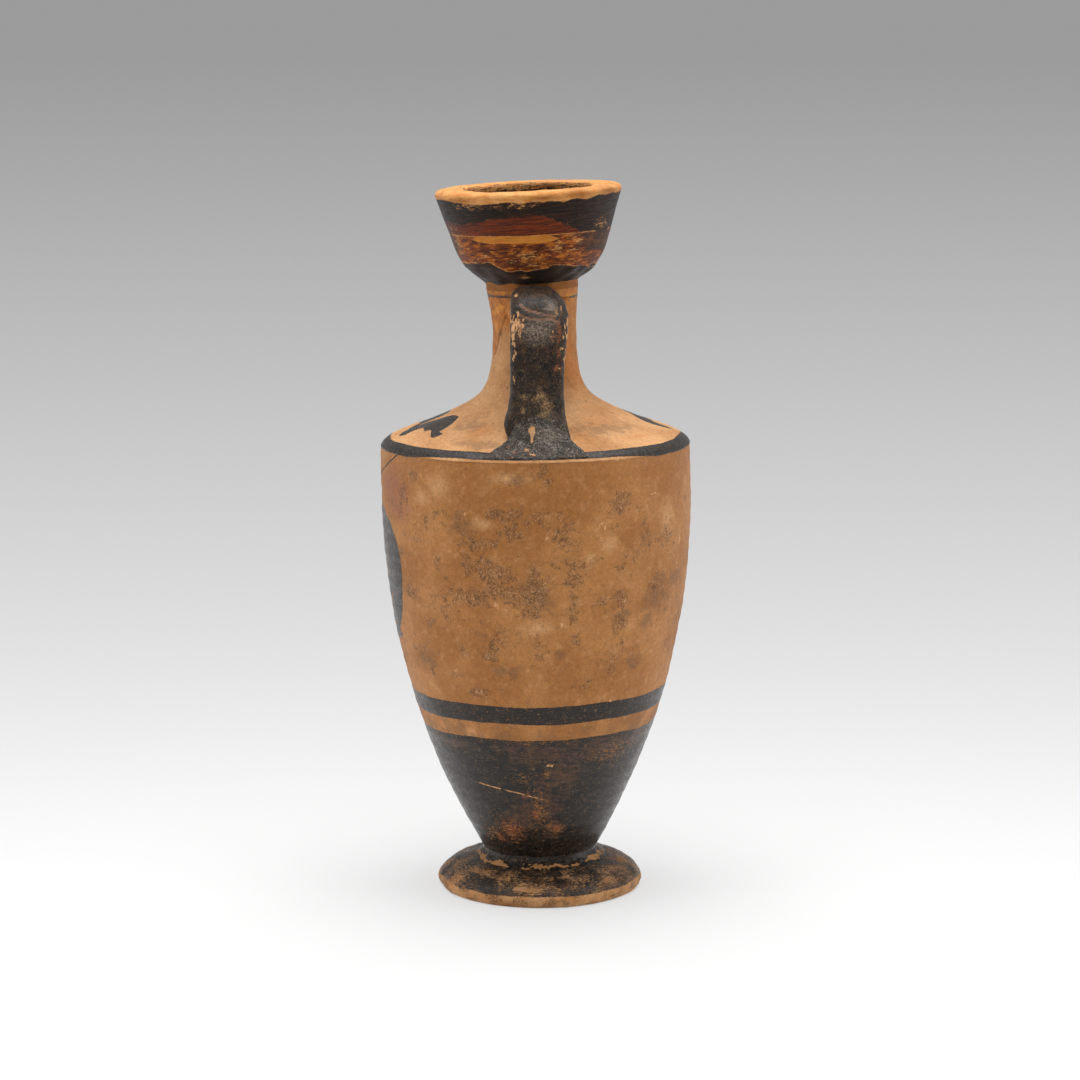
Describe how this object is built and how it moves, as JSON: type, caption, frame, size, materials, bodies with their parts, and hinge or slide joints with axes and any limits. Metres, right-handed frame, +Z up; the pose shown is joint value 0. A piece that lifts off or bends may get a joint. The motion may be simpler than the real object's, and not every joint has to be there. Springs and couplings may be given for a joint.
{
  "type": "lekythos",
  "caption": "Footed ceramic oil flask with tapering body, sloping shoulder, narrow neck, cup-shaped mouth and strap handle.",
  "frame": {"origin": "centre of the foot's resting face", "axes": "+Z up along the vessel's height, -Y towards the handle, +X to the right when the handle is in front"},
  "size_m": [0.0701, 0.07, 0.1609],
  "materials": {
    "fired_clay": "satin fired clay",
    "black_gloss": "worn black gloss slip",
    "mouth_gloss": "worn black and red-brown slip"
  },
  "bodies": {
    "root": {"foot": "fired_clay", "foot_fillet": "fired_clay", "body": "fired_clay", "shoulder": "fired_clay", "neck": "fired_clay", "mouth": "mouth_gloss", "handle": "black_gloss", "handle_apron": "black_gloss", "handle_pad": "fired_clay"}
  },
  "joints": []
}
